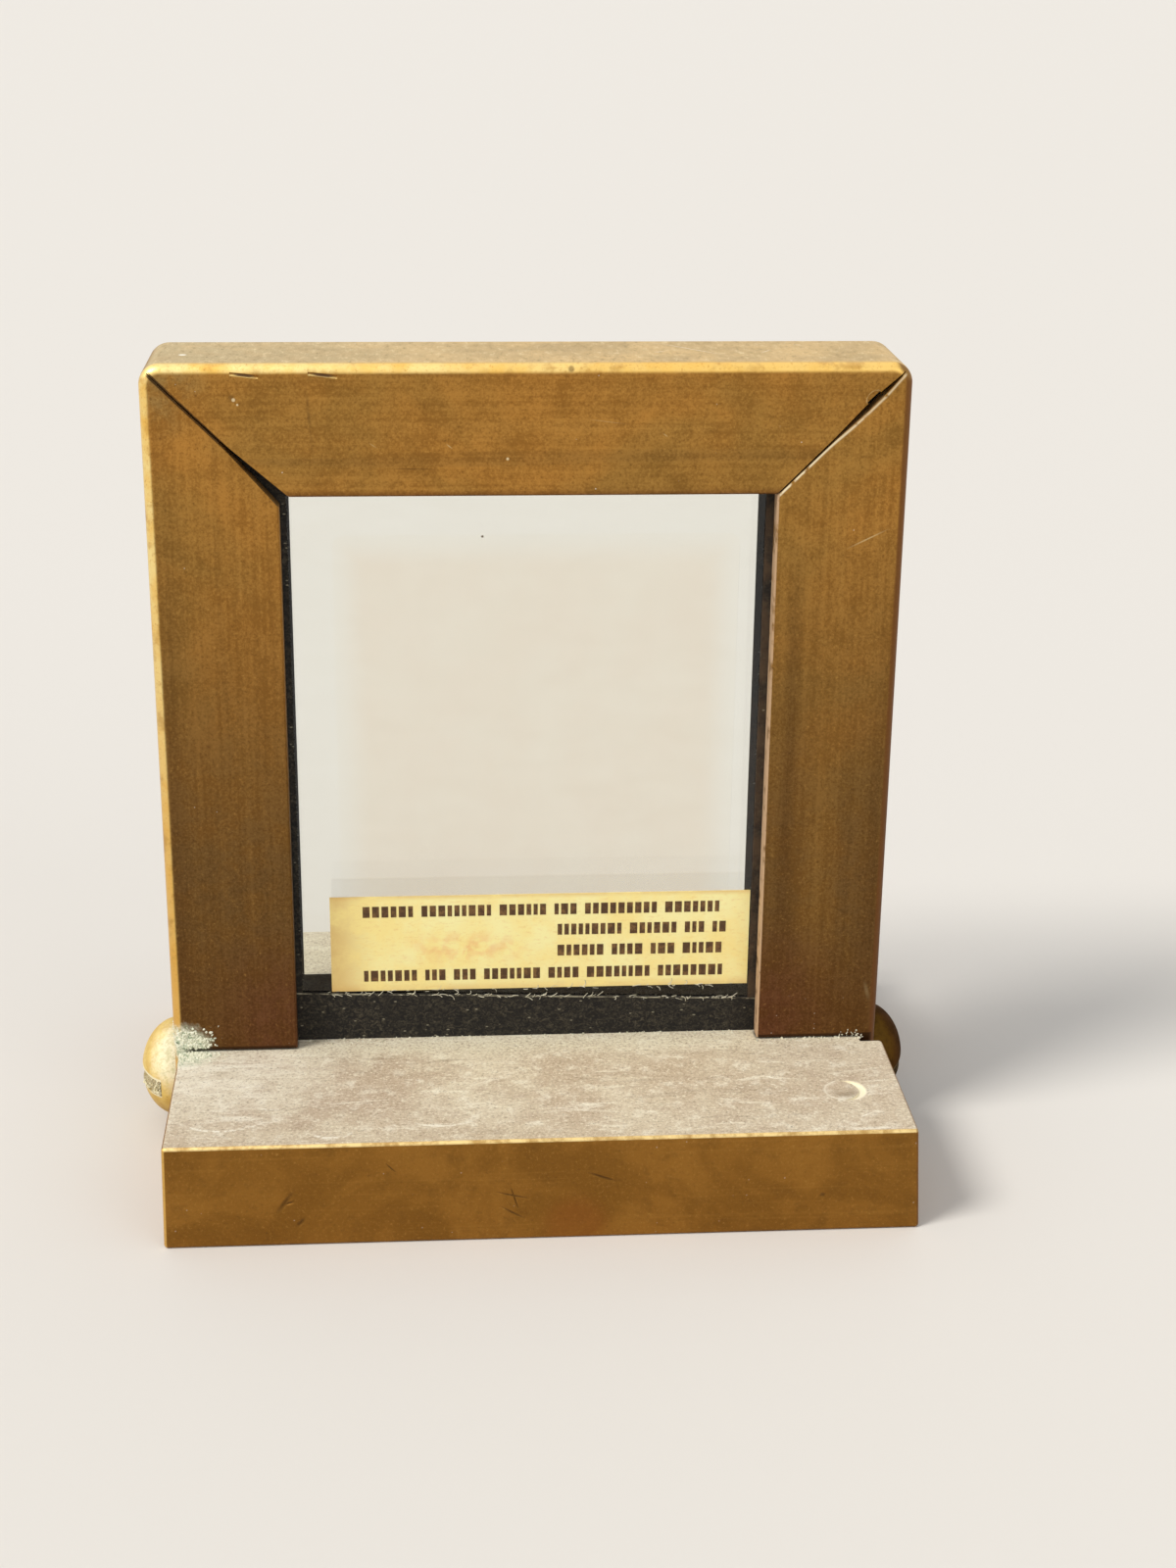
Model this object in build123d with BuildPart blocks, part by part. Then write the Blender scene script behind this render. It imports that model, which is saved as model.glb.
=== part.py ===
from build123d import *
from math import cos, radians, sin, sqrt
import os

os.makedirs("parts", exist_ok=True)

# Driving dimensions in millimetres. X runs across the frame, the front faces -Y, the base rests on Z = 0.

# Brass bar under the frame, as wide as the frame
base_depth = 46.0
base_thickness = 9.5
base_shift = 0.45
left_end_flare = 0.2
right_end_flare = 0.55
base_edge_round = 0.3
notch_corner_round = 1.0

# Channel bent over into an arch
frame_width = 63.5
frame_height = 61.7
channel_wall = 1.6
flange_width = 11.0
bend_round = 0.9
arch_corner_round = 1.8
flange_edge_wear = 0.15
tab_end_height = 0.8
notch_side_gap = 0.1
flange_foot_gap = 0.2

# Mitre slits in the flanges, as share of the way inwards and gap there: the front ones have opened unevenly
mitre_angle = 45.0
left_slit_gaps = ((0.0, 0.08), (0.5, 0.25), (1.0, 1.35))
right_slit_gaps = ((0.0, 0.08), (0.14, 0.42), (0.28, 0.5), (0.5, 0.2), (1.0, 0.12))
rear_slit_gaps = ((0.0, 0.16), (1.0, 0.16))
slit_reach = 0.85
slit_overrun = 1.0
chip_distance = 3.3
chip_offset = 0.3
chip_length = 1.4
chip_width = 0.9
chip_depth = 0.5

# Knocks where the upper bend of the rail meets its front
nick_distances = (8.55, 14.9)
nick_lengths = (2.3, 2.4)
nick_depth = 0.16
nick_tilt = 7.0

# Ring-shaped dent on the base in front of the right leg
dent_from_right = 5.05
dent_from_front = 7.4
dent_radius = 1.8
dent_width = 0.65
dent_depth = 0.2

# Round-head screws, a little above the middle of the bar
screw_above_middle = 0.7
head_diameter = 9.1
head_height = 3.5
shank_diameter = 4.8
shank_length = 12.7
shank_tip = 0.6
slot_width = 1.5
slot_depth = 2.0
left_slot_angle = 5.0
right_slot_angle = 20.0
tab_hole_gap = 0.15
thread_gap = 0.05
tap_extra_depth = 1.2
drill_point_length = 1.4

# Glass plates, replica film and paper
plate_thickness = 3.2
film_thickness = 0.1
paper_thickness = 0.25
plate_slack = 0.3
side_slack = 0.15
top_slack = 0.3
plate_arris = 0.2
film_width = 34.9
film_height = 41.3
film_centre_x = 0.85
film_bottom = 5.0
film_corner_round = 1.0
left_binding_show = 0.5
right_binding_show = 0.65
binding_lap_top = 4.0
binding_lap_rear = 4.4
binding_lap_left = 5.0
binding_lap_right = 2.95
label_left_margin = 2.65
label_height = 9.2
label_thickness = 0.12
label_gap = 0.1

# Sizes that follow from the ones above
film_half = film_thickness / 2
plate_face = film_half + plate_thickness
paper_face = plate_face + paper_thickness
inner_depth = paper_face + plate_slack
half_depth = inner_depth + channel_wall
frame_depth = 2 * half_depth
half_frame = frame_width / 2
inner_half = half_frame - channel_wall
arch_top = base_thickness + frame_height
cavity_top = arch_top - channel_wall
opening_half = half_frame - flange_width
opening_top = arch_top - flange_width
slit_tip_x = inner_half + slit_reach
slit_tip_z = cavity_top + slit_reach
plate_half = inner_half - side_slack - paper_thickness
plate_bottom = base_thickness + paper_thickness
plate_top = cavity_top - top_slack - paper_thickness
plate_height = plate_top - plate_bottom
paper_top = plate_top + paper_thickness
left_binding_edge = left_binding_show - opening_half
right_binding_edge = opening_half - right_binding_show
binding_slope = (binding_lap_right - binding_lap_left) / (2 * plate_half)
label_right = right_binding_edge - label_gap
label_left = left_binding_edge + label_left_margin
label_width = label_right - label_left
label_bottom = base_thickness + binding_lap_left + binding_slope * (label_left + plate_half) + label_gap
base_left = base_shift - half_frame
base_right = base_shift + half_frame
screw_height = base_thickness / 2 + screw_above_middle
hole_radius = shank_diameter / 2 + thread_gap
hole_depth = shank_length - channel_wall + tap_extra_depth
foot_level = base_thickness + flange_foot_gap
nick_side = nick_depth * sqrt(2)


# Base bar: ends sawn a little out of square, notched for the tabs and tapped for the screws
with BuildPart() as base_block:
    with BuildSketch(Plane.XZ.offset(base_depth / 2)):
        with BuildLine():
            Polyline(
                (base_left - left_end_flare, 0),
                (base_right + right_end_flare, 0),
                (base_right, base_thickness),
                (base_left, base_thickness),
                close=True,
            )
        make_face()
    extrude(amount=-base_depth)
    fillet(base_block.edges(), radius=base_edge_round)

    with BuildSketch(Plane.XY):
        for side in (-1, 1):
            with Locations((side * (inner_half + channel_wall), 0)):
                Rectangle(2 * channel_wall, frame_depth + 2 * notch_side_gap)
    extrude(amount=base_thickness, mode=Mode.SUBTRACT)
    notch_front = -half_depth - notch_side_gap
    worn_corner = base_block.edges().sort_by_distance((base_right, notch_front, base_thickness / 2))[0]
    fillet(worn_corner, radius=notch_corner_round)

    for side in (-1, 1):
        with BuildSketch(Plane.XZ):
            with BuildLine():
                Polyline(
                    (side * inner_half, screw_height),
                    (side * inner_half, screw_height + hole_radius),
                    (side * (inner_half - hole_depth), screw_height + hole_radius),
                    (side * (inner_half - hole_depth - drill_point_length), screw_height),
                    close=True,
                )
            make_face()
        revolve(axis=Axis((0, 0, screw_height), (1, 0, 0)), mode=Mode.SUBTRACT)

    with BuildSketch(Plane.XY.offset(base_thickness)):
        with Locations((base_right - dent_from_right, dent_from_front - base_depth / 2)):
            Circle(dent_radius)
        with Locations((base_right - dent_from_right - dent_width, dent_from_front - base_depth / 2)):
            Circle(dent_radius, mode=Mode.SUBTRACT)
    extrude(amount=-dent_depth, mode=Mode.SUBTRACT)


# Inverted U of brass channel: web unbroken round both corners, flanges mitred there
with BuildPart() as channel_frame:
    with BuildSketch(Plane.XZ.offset(half_depth)) as arch_outline:
        with Locations((0, (arch_top + tab_end_height) / 2)):
            Rectangle(frame_width, arch_top - tab_end_height)
        fillet(arch_outline.vertices().group_by(Axis.Y)[-1], radius=arch_corner_round)
        with Locations((0, (foot_level + tab_end_height) / 2)):
            Rectangle(2 * inner_half, foot_level - tab_end_height, mode=Mode.SUBTRACT)
    extrude(amount=-frame_depth)

    front_face = channel_frame.faces().sort_by(Axis.Y)[0]
    rear_face = channel_frame.faces().sort_by(Axis.Y)[-1]
    bent_edges = ShapeList()
    for face in (front_face, rear_face):
        for edge in face.edges():
            middle = edge.position_at(0.5)
            if abs(middle.X) > inner_half + channel_wall / 2 or middle.Z > cavity_top:
                if middle.Z > tab_end_height + channel_wall:
                    bent_edges.append(edge)
    fillet(bent_edges, radius=bend_round)

    with BuildSketch(Plane.XY.offset(base_thickness)):
        Rectangle(2 * inner_half, 2 * inner_depth)
    extrude(amount=cavity_top - base_thickness, mode=Mode.SUBTRACT)

    with BuildSketch(Plane.XZ.offset(half_depth)):
        with Locations((0, (base_thickness + opening_top) / 2)):
            Rectangle(2 * opening_half, opening_top - base_thickness)
    extrude(amount=-frame_depth, mode=Mode.SUBTRACT)

    window_edges = ShapeList()
    for edge in channel_frame.faces().sort_by(Axis.Y)[0].edges():
        middle = edge.position_at(0.5)
        if abs(middle.X) < opening_half + flange_edge_wear and middle.Z < opening_top + flange_edge_wear:
            window_edges.append(edge)
    chamfer(window_edges, length=flange_edge_wear)

    slits = (
        (-1, left_slit_gaps, half_depth),
        (1, right_slit_gaps, half_depth),
        (-1, rear_slit_gaps, -inner_depth),
        (1, rear_slit_gaps, -inner_depth),
    )
    for side, gaps, start in slits:
        rail_points = []
        leg_points = []
        for share, gap in gaps:
            middle_x = slit_tip_x + share * (opening_half - slit_overrun - slit_tip_x)
            middle_z = slit_tip_z + share * (opening_top - slit_overrun - slit_tip_z)
            step_x = gap / 2 * sin(radians(mitre_angle))
            step_z = gap / 2 * cos(radians(mitre_angle))
            rail_points.append((side * (middle_x - step_x), middle_z + step_z))
            leg_points.append((side * (middle_x + step_x), middle_z - step_z))
        with BuildSketch(Plane.XZ.offset(start)):
            with BuildLine():
                Polyline(*rail_points, *reversed(leg_points), close=True)
            make_face()
        extrude(amount=-channel_wall, mode=Mode.SUBTRACT)

    chip_x = slit_tip_x - chip_distance * cos(radians(mitre_angle)) - chip_offset * sin(radians(mitre_angle))
    chip_z = slit_tip_z - chip_distance * sin(radians(mitre_angle)) + chip_offset * cos(radians(mitre_angle))
    with BuildSketch(Plane.XZ.offset(half_depth)):
        with Locations((chip_x, chip_z)):
            Ellipse(chip_length / 2, chip_width / 2, rotation=mitre_angle)
    extrude(amount=-chip_depth, mode=Mode.SUBTRACT)

    for distance, length in zip(nick_distances, nick_lengths):
        across_nick = Plane(
            origin=(distance - half_frame, -half_depth, arch_top - bend_round),
            x_dir=(0, 1, 0),
            z_dir=(cos(radians(nick_tilt)), 0, -sin(radians(nick_tilt))),
        )
        with BuildSketch(across_nick):
            Rectangle(nick_side, nick_side, rotation=45)
        extrude(amount=length / 2, both=True, mode=Mode.SUBTRACT)

    with BuildSketch(Plane.YZ):
        with Locations((0, screw_height)):
            Circle(shank_diameter / 2 + tab_hole_gap)
    extrude(amount=frame_width, both=True, mode=Mode.SUBTRACT)


def round_head_screw(side, slot_angle):
    """One slotted round-head screw lying along X with its head outwards."""
    seat = side * half_frame
    crown = side * (half_frame + head_height)
    tip = side * (half_frame - shank_length)
    neck = side * (half_frame - shank_length + shank_tip)
    slot_floor = half_frame + head_height - slot_depth
    with BuildPart() as screw:
        with BuildSketch(Plane.XZ):
            with BuildLine():
                Line((crown, screw_height), (tip, screw_height))
                Line((tip, screw_height), (tip, screw_height + shank_diameter / 2 - shank_tip))
                Line(
                    (tip, screw_height + shank_diameter / 2 - shank_tip),
                    (neck, screw_height + shank_diameter / 2),
                )
                Line((neck, screw_height + shank_diameter / 2), (seat, screw_height + shank_diameter / 2))
                Line((seat, screw_height + shank_diameter / 2), (seat, screw_height + head_diameter / 2))
                EllipticalCenterArc(
                    (seat, screw_height),
                    head_height,
                    head_diameter / 2,
                    start_angle=0 if side > 0 else 90,
                    arc_size=90,
                )
            make_face()
        revolve(axis=Axis((0, 0, screw_height), (1, 0, 0)))
        with BuildSketch(Plane.YZ.offset(side * slot_floor)):
            with Locations((0, screw_height)):
                Rectangle(2 * head_diameter, slot_width, rotation=slot_angle)
        extrude(amount=side * head_height, mode=Mode.SUBTRACT)
    return screw.part


left_screw = round_head_screw(-1, left_slot_angle)
right_screw = round_head_screw(1, right_slot_angle)


def glass_plate(near_face):
    """One plate standing on its lower edge, its forward face at near_face."""
    with BuildPart() as plate:
        with BuildSketch(Plane.XZ.offset(-near_face)):
            with Locations((0, (plate_bottom + plate_top) / 2)):
                Rectangle(2 * plate_half, plate_height)
        extrude(amount=-plate_thickness)
        chamfer(plate.edges(), length=plate_arris)
    return plate.part


front_glass = glass_plate(-plate_face)
rear_glass = glass_plate(film_half)


# Replica film held flat between the plates
with BuildPart() as grating_film:
    with BuildSketch(Plane.XZ.offset(film_half)) as film_outline:
        with Locations((film_centre_x, base_thickness + film_bottom + film_height / 2)):
            Rectangle(film_width, film_height)
        fillet(film_outline.vertices(), radius=film_corner_round)
    extrude(amount=-film_thickness)


# Black paper folded round the four edges of the two plates
with BuildPart() as bottom_binding:
    with BuildSketch(Plane.XZ.offset(paper_face)):
        with BuildLine():
            Polyline(
                (-plate_half, base_thickness),
                (plate_half, base_thickness),
                (plate_half, base_thickness + binding_lap_right),
                (-plate_half, base_thickness + binding_lap_left),
                close=True,
            )
        make_face()
    extrude(amount=-paper_thickness)
    with BuildSketch(Plane.XZ.offset(-plate_face)):
        with Locations((0, base_thickness + binding_lap_rear / 2)):
            Rectangle(2 * plate_half, binding_lap_rear)
    extrude(amount=-paper_thickness)
    with BuildSketch(Plane.XY.offset(base_thickness)):
        Rectangle(2 * plate_half, 2 * paper_face)
    extrude(amount=paper_thickness)

with BuildPart() as top_binding:
    with BuildSketch(Plane.XZ.offset(paper_face)):
        with Locations((0, paper_top - (binding_lap_top + paper_thickness) / 2)):
            Rectangle(2 * plate_half, binding_lap_top + paper_thickness)
    extrude(amount=-2 * paper_face)
    with BuildSketch(Plane.XZ.offset(plate_face)):
        with Locations((0, plate_top - binding_lap_top / 2)):
            Rectangle(2 * plate_half, binding_lap_top)
    extrude(amount=-2 * plate_face, mode=Mode.SUBTRACT)


def side_binding(side, inner_edge):
    """Paper fold on one upright edge, its laps stopping against the top and bottom folds."""
    outer = side * (plate_half + paper_thickness)
    lap_at_outer = binding_lap_left if side < 0 else binding_lap_right
    lap_at_inner = binding_lap_left + binding_slope * (inner_edge + plate_half)
    lap_centre = (side * plate_half + inner_edge) / 2
    lap_width = abs(side * plate_half - inner_edge)
    top_lap_height = binding_lap_top + paper_thickness
    with BuildPart() as fold:
        with BuildSketch(Plane.XY.offset(base_thickness)):
            with Locations(((outer + inner_edge) / 2, 0)):
                Rectangle(abs(outer - inner_edge), 2 * paper_face)
            with Locations((lap_centre, 0)):
                Rectangle(lap_width, 2 * plate_face, mode=Mode.SUBTRACT)
        extrude(amount=paper_top - base_thickness)
        with BuildSketch(Plane.XZ.offset(paper_face)):
            with BuildLine():
                Polyline(
                    (side * plate_half, base_thickness),
                    (inner_edge, base_thickness),
                    (inner_edge, base_thickness + lap_at_inner),
                    (side * plate_half, base_thickness + lap_at_outer),
                    close=True,
                )
            make_face()
        extrude(amount=-paper_thickness, mode=Mode.SUBTRACT)
        with BuildSketch(Plane.XZ.offset(-plate_face)):
            with Locations((lap_centre, base_thickness + binding_lap_rear / 2)):
                Rectangle(lap_width, binding_lap_rear)
        extrude(amount=-paper_thickness, mode=Mode.SUBTRACT)
        with BuildSketch(Plane.XZ.offset(paper_face)):
            with Locations((lap_centre, paper_top - top_lap_height / 2)):
                Rectangle(lap_width, top_lap_height)
        extrude(amount=-2 * paper_face, mode=Mode.SUBTRACT)
    return fold.part


left_binding = side_binding(-1, left_binding_edge)
right_binding = side_binding(1, right_binding_edge)


# Paper label pasted on the front plate
with BuildPart() as label:
    with BuildSketch(Plane.XZ.offset(plate_face + label_thickness)):
        with Locations((label_left + label_width / 2, label_bottom + label_height / 2)):
            Rectangle(label_width, label_height)
    extrude(amount=-label_thickness)


pieces = {
    "base_block": base_block.part,
    "channel_frame": channel_frame.part,
    "left_screw": left_screw,
    "right_screw": right_screw,
    "front_glass": front_glass,
    "rear_glass": rear_glass,
    "grating_film": grating_film.part,
    "left_binding": left_binding,
    "right_binding": right_binding,
    "top_binding": top_binding.part,
    "bottom_binding": bottom_binding.part,
    "label": label.part,
}
for name, solid in pieces.items():
    solid.label = name
    export_step(solid, f"parts/{name}.step")
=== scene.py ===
from functools import partialmethod
from math import cos, pi, radians, sin, sqrt
from random import Random

import bmesh
import bpy
from mathutils import Matrix, Vector, noise


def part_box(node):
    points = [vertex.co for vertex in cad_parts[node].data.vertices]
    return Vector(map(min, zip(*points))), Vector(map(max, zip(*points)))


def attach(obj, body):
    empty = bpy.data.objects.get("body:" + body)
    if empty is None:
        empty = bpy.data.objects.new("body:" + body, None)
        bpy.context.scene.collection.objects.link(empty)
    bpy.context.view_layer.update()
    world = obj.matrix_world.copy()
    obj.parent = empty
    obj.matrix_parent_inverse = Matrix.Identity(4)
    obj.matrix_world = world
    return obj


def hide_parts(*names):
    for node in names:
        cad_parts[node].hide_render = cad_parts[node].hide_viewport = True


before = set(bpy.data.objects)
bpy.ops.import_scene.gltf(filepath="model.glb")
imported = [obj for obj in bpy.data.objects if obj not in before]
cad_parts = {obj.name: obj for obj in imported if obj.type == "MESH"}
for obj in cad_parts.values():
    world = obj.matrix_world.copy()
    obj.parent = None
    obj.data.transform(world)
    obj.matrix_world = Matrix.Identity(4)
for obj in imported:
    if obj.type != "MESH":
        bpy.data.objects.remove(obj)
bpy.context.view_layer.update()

# Lengths and places are in millimetres, and MM turns them into the scene's metres
MM = 0.001


def box_in_mm(node_name):
    """The lower and upper corner of a CAD node."""
    low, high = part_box(node_name)
    return low / MM, high / MM


base_low, base_high = box_in_mm("base_block")
arch_low, arch_high = box_in_mm("channel_frame")
label_low, label_high = box_in_mm("label")
film_low, film_high = box_in_mm("grating_film")
glass_low, _ = box_in_mm("front_glass")
tape_low, tape_high = box_in_mm("bottom_binding")
BASE_TOP = base_high.z
FRONT_PLANE = arch_low.y
ARCH_TOP = arch_high.z
ARCH_SIDE = arch_high.x

# Sizes and places that the looks need
FLANGE_WIDTH = 11.0
BEND_ROUND = 0.9
OPENING_SIDE = ARCH_SIDE - FLANGE_WIDTH
OPENING_TOP = ARCH_TOP - FLANGE_WIDTH
MITRE_OFFSET = ARCH_TOP - ARCH_SIDE
# How far the bottom binding laps up the glass at its left and right end
TAPE_LAPS = (5.0, 2.95)
# Screw heads: the axis's height, the slot's half width and floor, and the dome's centre and radius
SCREW_AXIS = 5.45
SLOT_HALF = 0.75
SLOT_FLOOR = 33.25
DOME_CENTRE = 30.54
DOME_RADIUS = 4.71
LEFT_SLOT_ANGLE = 5.0
RIGHT_SLOT_ANGLE = 20.0
# The chip beside the right mitre, and the two nicks under the top bend
CHIP_CENTRE = (28.45, 68.33)
CHIP_SQUEEZE = 0.9 / 1.4
NICK_CENTRES = (-23.2, -16.85)


def linear_colour(on_screen):
    """A colour given as 0 to 255 on screen, as linear values."""
    linear = []
    for part in on_screen:
        share = part / 255
        linear.append(share / 12.92 if share <= 0.04045 else ((share + 0.055) / 1.055) ** 2.4)
    return (*linear, 1.0)


class Paint:
    """A colour that others are laid over, one after the other."""

    def __init__(self, shade, colour):
        self.shade = shade
        self.colour = colour

    def lay(self, over, *masks):
        """The colour over, where all masks are high. A mask may be a plain share."""
        self.colour = self.shade.mix(self.shade.times(*masks), self.colour, over)


class Shade:
    """Short calls that add nodes to one material's tree."""

    def __init__(self, name):
        self.material = bpy.data.materials.new(name)
        self.material.use_nodes = True
        self.tree = self.material.node_tree
        self.tree.nodes.clear()
        self.place = self.add("ShaderNodeTexCoord").outputs["Object"]
        scaled = self.add("ShaderNodeVectorMath", {"operation": "SCALE"}, Vector=self.place, Scale=1 / MM)
        self.place_mm = scaled.outputs["Vector"]
        split = self.add("ShaderNodeSeparateXYZ", Vector=self.place_mm)
        self.x, self.y, self.z = split.outputs
        normal = self.add("ShaderNodeNewGeometry").outputs["Normal"]
        facing = self.add("ShaderNodeSeparateXYZ", Vector=normal)
        self.facing_x, self.facing_y, self.facing_z = facing.outputs

    def add(self, kind, settings=None, **inputs):
        node = self.tree.nodes.new(kind)
        for key, value in (settings or {}).items():
            setattr(node, key, value)
        for key, value in inputs.items():
            self.feed(node.inputs[key.replace("_", " ")], value)
        return node

    def feed(self, socket, value):
        if isinstance(value, Paint):
            value = value.colour
        if isinstance(value, bpy.types.NodeSocket):
            self.tree.links.new(value, socket)
        else:
            socket.default_value = linear_colour(value) if socket.type == "RGBA" else value

    def math(self, operation, *values, clamp=False):
        """The first two values taken together, then the result with the third, and so on."""
        result = values[0]
        for value in values[1:]:
            node = self.add("ShaderNodeMath", {"operation": operation, "use_clamp": clamp})
            self.feed(node.inputs[0], result)
            self.feed(node.inputs[1], value)
            result = node.outputs[0]
        return result

    plus = partialmethod(math, "ADD")
    minus = partialmethod(math, "SUBTRACT")
    times = partialmethod(math, "MULTIPLY")
    most = partialmethod(math, "MAXIMUM")
    least = partialmethod(math, "MINIMUM")

    def size_of(self, value):
        return self.math("ABSOLUTE", value, 0.0)

    def ramp(self, value, low, high, first=0.0, last=1.0):
        """first where value is at low, last where it is at high, smooth between."""
        node = self.add("ShaderNodeMapRange", {"interpolation_type": "SMOOTHSTEP"})
        self.feed(node.inputs["Value"], value)
        for name, number in (("From Min", low), ("From Max", high), ("To Min", first), ("To Max", last)):
            node.inputs[name].default_value = number
        return node.outputs["Result"]

    def near(self, value, centre, reach):
        """1 where value is at centre, 0 from reach away on either side."""
        return self.ramp(self.size_of(self.minus(value, centre)), reach, 0.0)

    def mix(self, factor, first, second, blend="MIX"):
        node = self.add("ShaderNodeMix", {"data_type": "RGBA", "blend_type": blend})
        self.feed(node.inputs["Factor"], factor)
        self.feed(node.inputs[6], first)
        self.feed(node.inputs[7], second)
        return node.outputs[2]

    def blend(self, factor, first, second):
        """Paint that goes from one colour to another with a factor from 0 to 1."""
        return Paint(self, self.mix(factor, first, second))

    def stretched(self, stretch):
        node = self.add("ShaderNodeMapping", Vector=self.place)
        node.inputs["Scale"].default_value = stretch
        return node.outputs["Vector"]

    def noise(self, scale, detail=4.0, roughness=0.55, stretch=(1, 1, 1), distortion=0.0):
        """Noise from 0 to 1 with scale in cycles a metre."""
        node = self.add("ShaderNodeTexNoise", Vector=self.stretched(stretch))
        for key, value in (("Scale", scale), ("Detail", detail), ("Roughness", roughness)):
            node.inputs[key].default_value = value
        node.inputs["Distortion"].default_value = distortion
        return node.outputs["Fac"]

    def specks(self, spacing, size, amount, stretch=(1, 1, 1)):
        """Small scattered dots. amount is the share of cells that hold one."""
        node = self.add("ShaderNodeTexVoronoi", Vector=self.stretched(stretch))
        node.inputs["Scale"].default_value = 1 / (spacing * MM)
        dot = self.ramp(node.outputs["Distance"], size / spacing, 0.4 * size / spacing)
        pick = self.add("ShaderNodeSeparateColor", Color=node.outputs["Color"])
        return self.times(dot, self.math("LESS_THAN", pick.outputs[0], amount))

    def strokes(self, across, up, marks):
        """All of several marks, each given by its start, end and width."""
        result = 0.0
        for start, end, width in marks:
            result = self.most(result, self.stroke(across, up, start, end, width))
        return result

    def stroke(self, across, up, start, end, width):
        """A scratch or mark between two points on the plane of two coordinates."""
        run = Vector(end) - Vector(start)
        length, run = run.length, run.normalized()
        from_x = self.minus(across, start[0])
        from_y = self.minus(up, start[1])
        along = self.plus(self.times(from_x, run.x), self.times(from_y, run.y))
        off = self.minus(self.times(from_y, run.x), self.times(from_x, run.y))
        return self.times(self.near(off, 0.0, width), self.near(along, length / 2, 0.62 * length))

    def brushed(self, along_x, scale):
        """Brush lines along X where along_x is 1, and along Z elsewhere, from 0 to 1."""
        node = self.add("ShaderNodeMix", {"data_type": "FLOAT"})
        self.feed(node.inputs["Factor"], along_x)
        self.feed(node.inputs[2], self.noise(scale, detail=3, stretch=(2.2, 1, 0.05)))
        self.feed(node.inputs[3], self.noise(scale, detail=3, stretch=(0.05, 1, 2.2)))
        return node.outputs[0]

    def distance(self, across, up, centre):
        """How far a point on the plane of two coordinates is from a centre."""
        from_x = self.minus(across, centre[0])
        from_y = self.minus(up, centre[1])
        squares = self.plus(self.times(from_x, from_x), self.times(from_y, from_y))
        return self.math("SQRT", squares, 0.0)

    def spot(self, across, up, centre, radius):
        """A soft round spot."""
        return self.ramp(self.distance(across, up, centre), radius, 0.4 * radius)

    def ring(self, across, up, centre, radius, width):
        """A soft ring. width is from the middle of its line to where it ends."""
        return self.near(self.distance(across, up, centre), radius, width)

    def bump(self, height, distance, strength=1.0, normal=None):
        node = self.add("ShaderNodeBump", Height=height)
        node.inputs["Distance"].default_value = distance * MM
        node.inputs["Strength"].default_value = strength
        if normal is not None:
            self.feed(node.inputs["Normal"], normal)
        return node.outputs["Normal"]

    def finish(self, colour, metallic=0.0, roughness=0.5, normal=None, **more):
        shader = self.add("ShaderNodeBsdfPrincipled")
        self.feed(shader.inputs["Base Color"], colour)
        self.feed(shader.inputs["Metallic"], metallic)
        self.feed(shader.inputs["Roughness"], roughness)
        if normal is not None:
            self.feed(shader.inputs["Normal"], normal)
        for key, value in more.items():
            self.feed(shader.inputs[key.replace("_", " ")], value)
        self.out = self.add("ShaderNodeOutputMaterial")
        self.tree.links.new(shader.outputs["BSDF"], self.out.inputs["Surface"])
        return self.material

    def let_light_through(self):
        """Shadow rays pass the finished clear material, so what lies behind it is lit."""
        shader = self.out.inputs["Surface"].links[0].from_socket
        either = self.add("ShaderNodeMixShader")
        self.feed(either.inputs[0], self.add("ShaderNodeLightPath").outputs["Is Shadow Ray"])
        self.feed(either.inputs[1], shader)
        self.feed(either.inputs[2], self.add("ShaderNodeBsdfTransparent").outputs["BSDF"])
        self.tree.links.new(either.outputs["Shader"], self.out.inputs["Surface"])


# Colours as they look on screen, from 0 to 255
RAIL_OLIVE = (168, 126, 60)
RAIL_WARM = (184, 132, 60)
RAIL_LIGHT = (194, 150, 78)
LEG_BROWN = (116, 86, 46)
LEG_SHADE = (96, 66, 32)
FOOT_PURPLE = (114, 74, 48)
# Dark brown for grime, and for painted shade in the mitre slit and along the frame's foot
DIRT_AND_SHADE_BROWN = (56, 36, 18)
WEB_BEIGE = (222, 192, 138)
WEB_OLIVE = (198, 172, 124)
BEND_GOLD = (246, 200, 104)
BEND_CREAM = (255, 234, 162)
BEND_AMBER = (206, 150, 70)
BEND_SHADE = (112, 70, 34)
# Pale dust with a painted highlight, for the cut face that faces the light
CUT_DUST_AND_HIGHLIGHT = (200, 168, 134)
BASE_FRONT = (152, 106, 42)
BASE_FRONT_DARK = (132, 90, 32)
DUST_COOL = (226, 216, 194)
DUST_WARM = (208, 191, 163)
DUST_MAUVE = (198, 179, 157)
DUST_WHITE = (252, 248, 232)
DUST_LOW = (142, 126, 106)
DARK_PIT = (64, 46, 28)
CRUST_PALE = (236, 236, 216)
CRUST_GREEN = (168, 182, 154)
CRUST_DARK = (58, 76, 60)
SCREW_BLOOM = (252, 248, 222)
PAPER_BLACK = (26, 24, 23)
PAPER_WORN = (86, 80, 66)
PAPER_BROWN = (88, 70, 52)
LINT_PALE = (186, 180, 156)
LABEL_PAPER = (255, 236, 156)
LABEL_LIGHT = (255, 247, 180)
LABEL_AGED = (226, 184, 108)
LABEL_STAIN = (240, 166, 112)
PRINT_BROWN = (78, 52, 26)
FLOOR_PALE = (230, 228, 224)


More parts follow.
